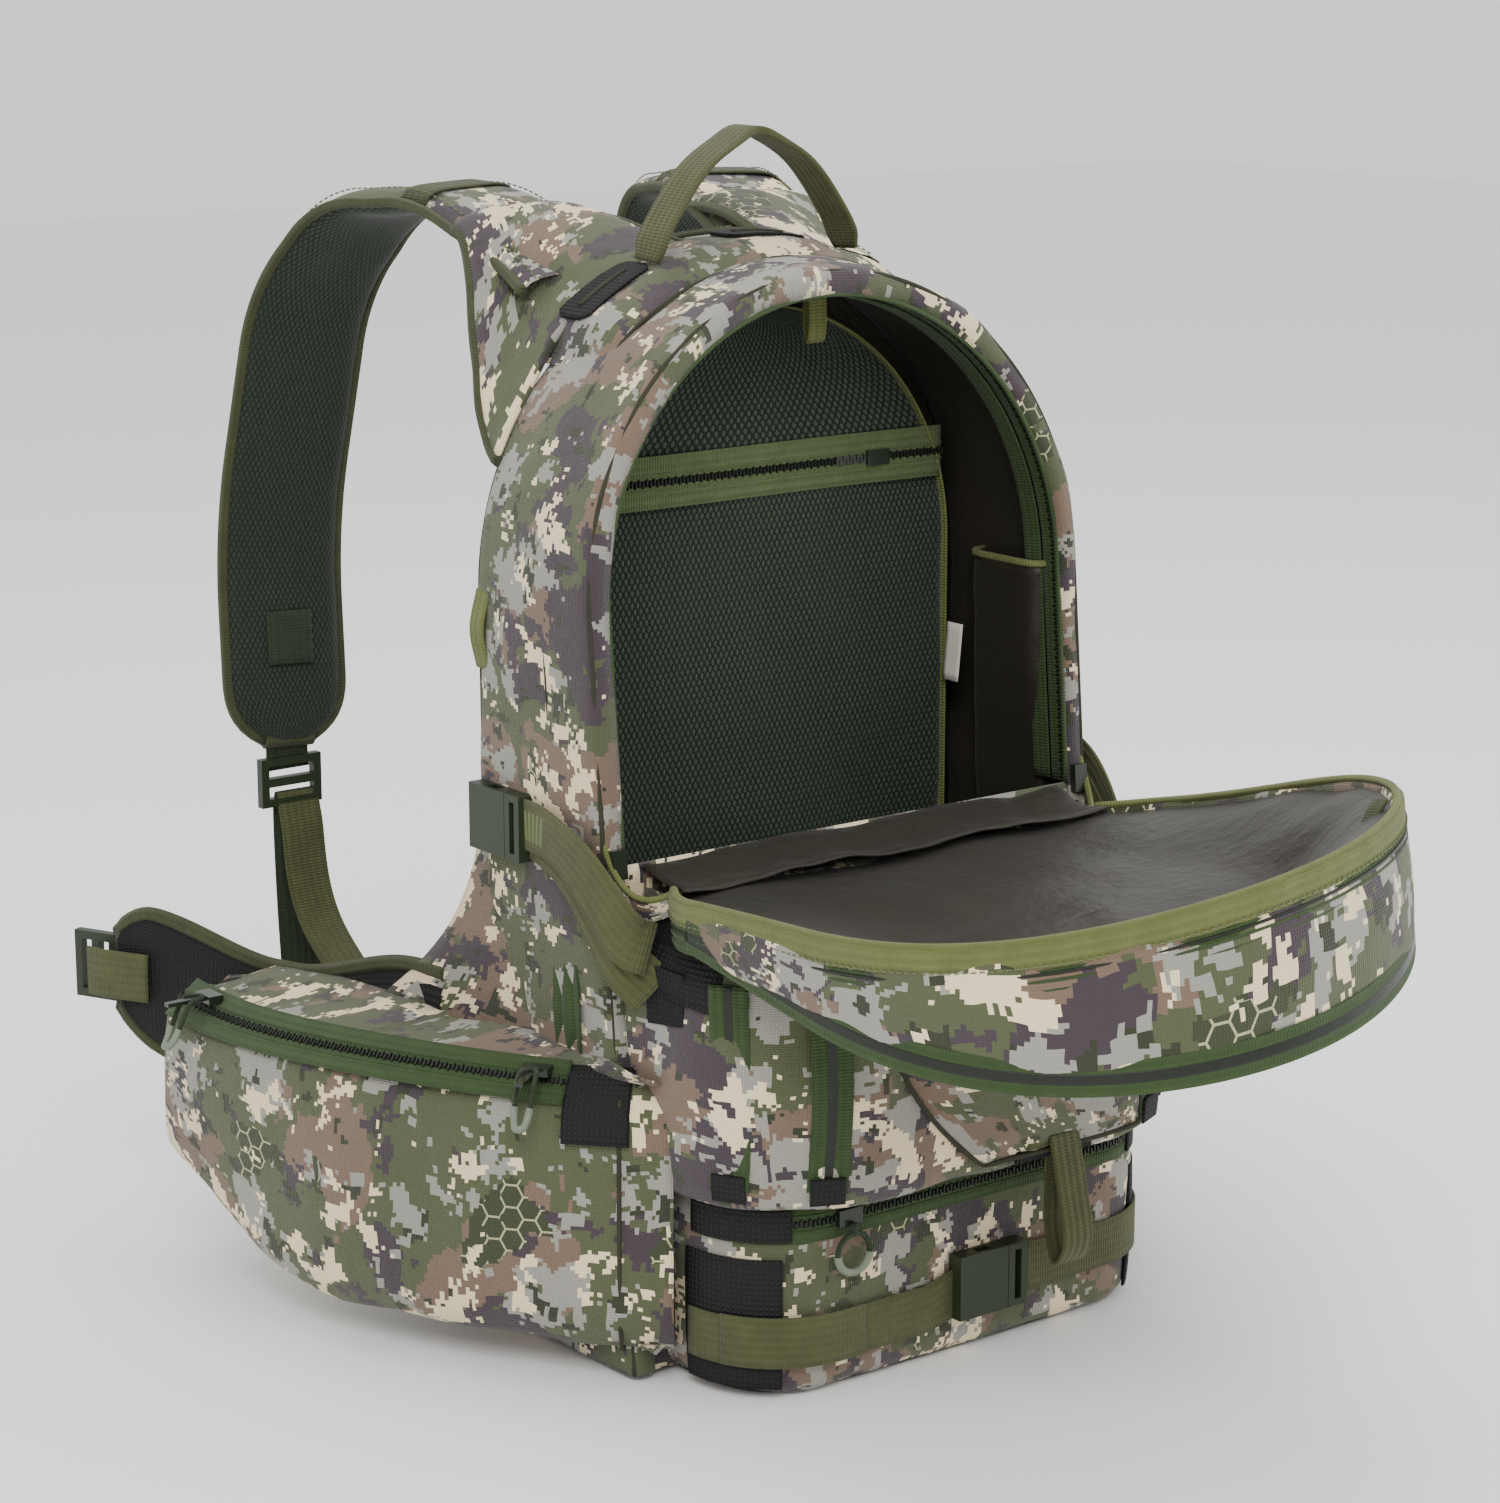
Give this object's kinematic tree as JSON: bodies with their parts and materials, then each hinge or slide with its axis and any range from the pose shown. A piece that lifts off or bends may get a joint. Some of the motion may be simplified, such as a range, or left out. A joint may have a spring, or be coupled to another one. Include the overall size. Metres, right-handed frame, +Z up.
{
  "type": "hunting backpack",
  "caption": "Padded daypack with an arched zipped compartment, fold-down front flap, front and side pockets, shoulder straps and hip belt wings with pouches.",
  "frame": {"origin": "middle of the base, on the ground", "axes": "+Z up, -Y the zipped front with the open flap, +Y the wearer's side, +X to the right seen from the front"},
  "size_m": [0.5334, 0.6586, 0.5769],
  "materials": {
    "camo_fabric": "printed camouflage polyester, matte weave",
    "olive_webbing": "woven polyamide webbing",
    "dark_zip_tape": "woven zip tape with moulded coil",
    "olive_binding": "ribbed binding tape",
    "dark_mesh": "knitted spacer mesh",
    "satin_lining": "coated lining with a soft sheen",
    "black_patch": "rubberised reinforcement",
    "dark_plastic": "moulded buckle plastic",
    "frame_plastic": "extruded sheet",
    "base_fabric": "coated base fabric"
  },
  "bodies": {
    "pack": {"back_pads": "dark_mesh", "base_panel": "base_fabric", "frame_sheet": "frame_plastic", "hang_tab": "olive_webbing", "hydration_ports": "black_patch", "inner_side_pocket": "satin_lining", "loop_patch": "black_patch", "lower_buckle_female": "dark_plastic", "lower_patches": "black_patch", "lower_pocket": "camo_fabric", "lower_pocket_zip": "dark_zip_tape", "lower_strap": "olive_webbing", "lumbar_pad": "dark_mesh", "main_shell": "camo_fabric", "main_zip_body_tape": "dark_zip_tape", "main_zip_sliders": "dark_plastic", "mesh_panel_lower": "dark_mesh", "mesh_panel_upper": "dark_mesh", "mesh_zip": "dark_zip_tape", "organiser_pocket": "camo_fabric", "organiser_zips": "dark_zip_tape", "pouch_zip_left": "dark_zip_tape", "pouch_zip_right": "dark_zip_tape", "side_buckle_female_left": "dark_plastic", "side_buckle_female_right": "dark_plastic", "side_patches": "black_patch", "side_pocket_left": "camo_fabric", "side_pocket_right": "camo_fabric", "side_webbing_left": "olive_webbing", "side_webbing_right": "olive_webbing", "strap_webbing_left": "olive_webbing", "strap_webbing_right": "olive_webbing", "yoke_panel": "camo_fabric"},
    "flap": {"flap_shell": "camo_fabric", "flap_lining": "satin_lining", "main_zip_flap_tape": "olive_binding", "flap_pocket_zip": "dark_zip_tape"},
    "handle": {"grab_handle": "olive_webbing"},
    "mesh_slider": {"mesh_zip_slider": "dark_plastic"},
    "lower_slider": {"lower_zip_slider": "dark_plastic"},
    "lower_pull": {"lower_zip_pull": "dark_plastic"},
    "gear_loop": {"gear_loop": "olive_webbing"},
    "lower_plug": {"lower_buckle_male": "dark_plastic"},
    "side_plug_left": {"side_buckle_male_left": "dark_plastic"},
    "wing_left": {"hip_wing_left": "camo_fabric", "hip_pouch_left": "camo_fabric"},
    "belt_lock_left": {"belt_lock_left": "dark_plastic"},
    "strap_left": {"shoulder_strap_left": "camo_fabric", "strap_lock_left": "dark_plastic"},
    "front_slider_left": {"pouch_slider_front_left": "dark_plastic"},
    "rear_slider_left": {"pouch_slider_rear_left": "dark_plastic"},
    "side_plug_right": {"side_buckle_male_right": "dark_plastic"},
    "wing_right": {"hip_wing_right": "camo_fabric", "hip_pouch_right": "camo_fabric"},
    "belt_lock_right": {"belt_lock_right": "dark_plastic"},
    "strap_right": {"shoulder_strap_right": "camo_fabric", "strap_lock_right": "dark_plastic"},
    "front_slider_right": {"pouch_slider_front_right": "dark_plastic"},
    "rear_slider_right": {"pouch_slider_rear_right": "dark_plastic"}
  },
  "joints": [
    {"name": "flap_fold", "type": "hinge", "parent": "pack", "child": "flap", "pos_m": [0, -0.054, 0.238], "axis": [-1, 0, 0], "range_deg": [0, 89.5]},
    {"name": "handle_sway", "type": "hinge", "parent": "pack", "child": "handle", "pos_m": [0, 0.052, 0.5146], "axis": [1, 0, 0], "range_deg": [-38, 38]},
    {"name": "mesh_slider_travel", "type": "slide", "parent": "pack", "child": "mesh_slider", "axis": [1, 0, 0], "range_m": [-0.16, 0.02]},
    {"name": "lower_slider_travel", "type": "slide", "parent": "pack", "child": "lower_slider", "axis": [1, 0, 0], "range_m": [0, 0.15]},
    {"name": "lower_pull_swing", "type": "hinge", "parent": "lower_slider", "child": "lower_pull", "pos_m": [-0.076, -0.1278, 0.0852], "axis": [-1, 0, 0], "range_deg": [0, 80]},
    {"name": "gear_loop_swing", "type": "hinge", "parent": "pack", "child": "gear_loop", "pos_m": [0.036, -0.1448, 0.1168], "axis": [-1, 0, 0], "range_deg": [0, 60]},
    {"name": "lower_plug_travel", "type": "slide", "parent": "pack", "child": "lower_plug", "axis": [1, 0, 0], "range_m": [0, 0.028]},
    {"name": "side_plug_travel_left", "type": "slide", "parent": "pack", "child": "side_plug_left", "axis": [0, -1, 0], "range_m": [0, 0.028]},
    {"name": "wing_swing_left", "type": "hinge", "parent": "pack", "child": "wing_left", "pos_m": [-0.156, 0.08, 0.09], "axis": [0, 0, -1], "range_deg": [-8, 12], "deforming": ["pouch_zip_left"]},
    {"name": "belt_lock_swing_left", "type": "hinge", "parent": "wing_left", "child": "belt_lock_left", "pos_m": [-0.2315, 0.2915, 0.138], "axis": [0, 0, -1], "range_deg": [-40, 40]},
    {"name": "strap_root_left", "type": "hinge", "parent": "pack", "child": "strap_left", "pos_m": [-0.065, 0.089, 0.503], "axis": [1, 0, 0], "range_deg": [-10, 8], "deforming": ["strap_webbing_left"]},
    {"name": "side_plug_travel_right", "type": "slide", "parent": "pack", "child": "side_plug_right", "axis": [0, -1, 0], "range_m": [0, 0.028]},
    {"name": "wing_swing_right", "type": "hinge", "parent": "pack", "child": "wing_right", "pos_m": [0.156, 0.08, 0.09], "axis": [0, 0, 1], "range_deg": [-8, 12], "deforming": ["pouch_zip_right"]},
    {"name": "belt_lock_swing_right", "type": "hinge", "parent": "wing_right", "child": "belt_lock_right", "pos_m": [0.2315, 0.2915, 0.138], "axis": [0, 0, 1], "range_deg": [-40, 40]},
    {"name": "strap_root_right", "type": "hinge", "parent": "pack", "child": "strap_right", "pos_m": [0.065, 0.089, 0.503], "axis": [1, 0, 0], "range_deg": [-10, 8], "deforming": ["strap_webbing_right"]},
    {"name": "front_slider_travel_left", "type": "slide", "parent": "pack", "child": "front_slider_left", "axis": [-0.5897, 0.8076, 0], "range_m": [-0.01, 0.03]},
    {"name": "rear_slider_travel_left", "type": "slide", "parent": "wing_left", "child": "rear_slider_left", "axis": [0.0115, 0.9999, 0], "range_m": [-0.05, 0.01]},
    {"name": "front_slider_travel_right", "type": "slide", "parent": "pack", "child": "front_slider_right", "axis": [0.5897, 0.8076, 0], "range_m": [-0.01, 0.03]},
    {"name": "rear_slider_travel_right", "type": "slide", "parent": "wing_right", "child": "rear_slider_right", "axis": [-0.0115, 0.9999, 0], "range_m": [-0.05, 0.01]}
  ]
}
